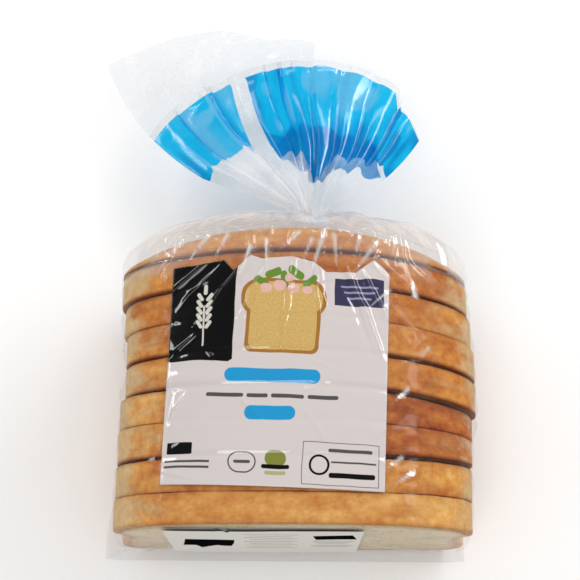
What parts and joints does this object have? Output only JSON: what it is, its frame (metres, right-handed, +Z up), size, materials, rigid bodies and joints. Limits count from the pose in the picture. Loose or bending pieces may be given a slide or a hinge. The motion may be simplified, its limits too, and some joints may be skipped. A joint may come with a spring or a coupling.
{
  "type": "loaf in bread bag",
  "caption": "Sliced bread loaf in a clear film bag with a gathered neck, a fan of loose film past it and a printed label, lying on its flat base.",
  "frame": {"origin": "on the table under the middle of the loaf, in the flat base of the bag", "axes": "+X across the slices, to the right as the label is read; +Y along the loaf to the gathered neck; +Z up through the dome and the label"},
  "size_m": [0.1827, 0.2738, 0.1001],
  "materials": {
    "film": "clear glossy film with a printed light blue band round the free end",
    "label": "warm light grey print with plain fields of charcoal, navy and blue, under glossy film",
    "crust": "matt golden brown bread crust",
    "crumb": "matt cream bread crumb with open pores"
  },
  "bodies": {
    "root": {"bag": "film", "front_label": "label"}
  },
  "joints": []
}
